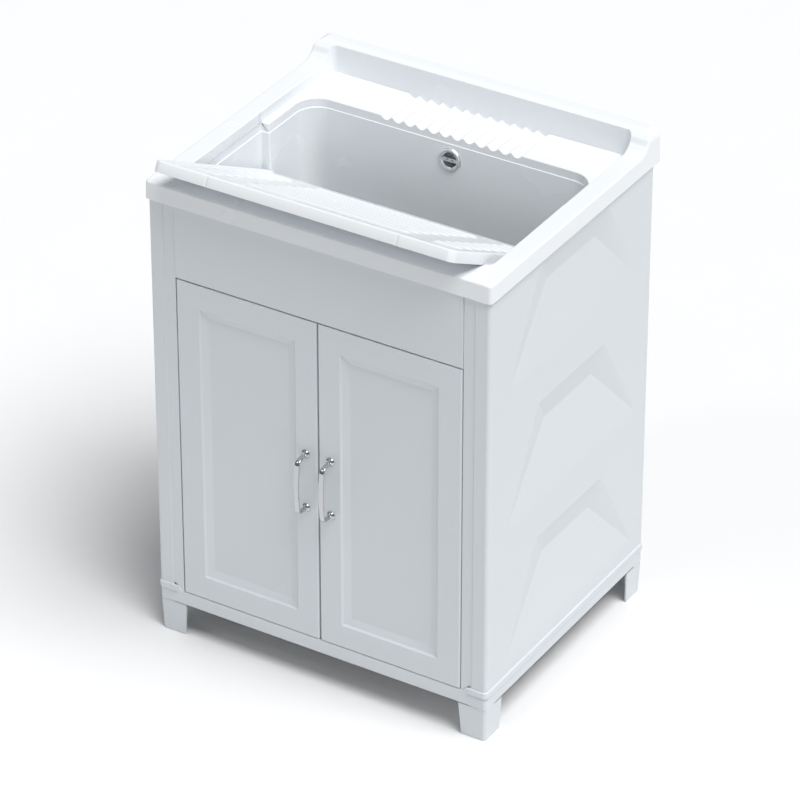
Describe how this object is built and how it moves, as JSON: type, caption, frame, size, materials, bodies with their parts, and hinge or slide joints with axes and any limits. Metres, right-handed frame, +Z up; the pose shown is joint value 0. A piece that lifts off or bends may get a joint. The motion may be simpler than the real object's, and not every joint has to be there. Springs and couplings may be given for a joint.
{
  "type": "utility laundry sink",
  "caption": "Laundry sink: deep moulded basin with a lift-out sloped washboard, on a white cabinet with two hinged doors, bow handles and moulded feet.",
  "frame": {"origin": "on the floor, under the middle of the overall width and of the overall depth with the washboard in place", "axes": "+X to the right of someone facing the doors, +Y to the back, +Z up"},
  "size_m": [0.6, 0.54, 0.8678],
  "materials": {
    "basin_white": "glossy moulded white, smooth",
    "cabinet_white": "semi-gloss moulded cool white",
    "inner_white": "satin moulded white",
    "chrome_trim": "polished",
    "steel": "brushed",
    "magnet_dark": "dark grey, dull",
    "black_rubber": "black, dull",
    "pipe_white": "satin moulded white"
  },
  "bodies": {
    "cabinet": {"basin": "basin_white", "side_panel_left": "cabinet_white", "side_panel_right": "cabinet_white", "front_fascia": "cabinet_white", "base_frame": "cabinet_white", "rear_rail_upper": "inner_white", "rear_rail_lower": "inner_white", "cabinet_floor": "inner_white", "catch_block": "inner_white", "hinge_washers": "inner_white", "overflow_ring": "chrome_trim", "waste_strainer": "steel", "waste_screw": "steel", "hinge_pins": "steel", "fascia_screws": "steel", "rail_screws": "steel", "catch_screws": "steel", "overflow_screws": "steel", "catch_magnets": "magnet_dark", "overflow_gasket": "black_rubber", "waste_gasket": "black_rubber", "trap_seal": "black_rubber", "overflow_elbow": "pipe_white", "overflow_pipe": "pipe_white", "waste_body": "pipe_white", "tailpiece": "pipe_white", "tailpiece_nut": "pipe_white", "trap_inlet_nut": "pipe_white", "trap_body": "pipe_white", "trap_cup": "pipe_white", "outlet_pipe": "pipe_white", "outlet_nut": "pipe_white"},
    "door_right": {"door_right": "cabinet_white", "handle_right": "chrome_trim", "handle_screws_right": "steel", "strike_plate_right": "steel", "strike_screws_right": "steel"},
    "door_left": {"door_left": "cabinet_white", "handle_left": "chrome_trim", "handle_screws_left": "steel", "strike_plate_left": "steel", "strike_screws_left": "steel"},
    "washboard": {"washboard": "basin_white"},
    "drain_plug": {"drain_plug": "black_rubber"}
  },
  "joints": [
    {"name": "door_right_hinge", "type": "hinge", "parent": "cabinet", "child": "door_right", "pos_m": [0.2408, -0.218, 0.36605], "axis": [0, 0, 1], "range_deg": [0, 100]},
    {"name": "door_left_hinge", "type": "hinge", "parent": "cabinet", "child": "door_left", "pos_m": [-0.2408, -0.218, 0.36605], "axis": [0, 0, -1], "range_deg": [0, 100]},
    {"name": "washboard_lift", "type": "slide", "parent": "cabinet", "child": "washboard", "axis": [0, 0, 1], "range_m": [0, 0.25]},
    {"name": "drain_plug_lift", "type": "slide", "parent": "cabinet", "child": "drain_plug", "axis": [0, 0, 1], "range_m": [0, 0.15]}
  ]
}
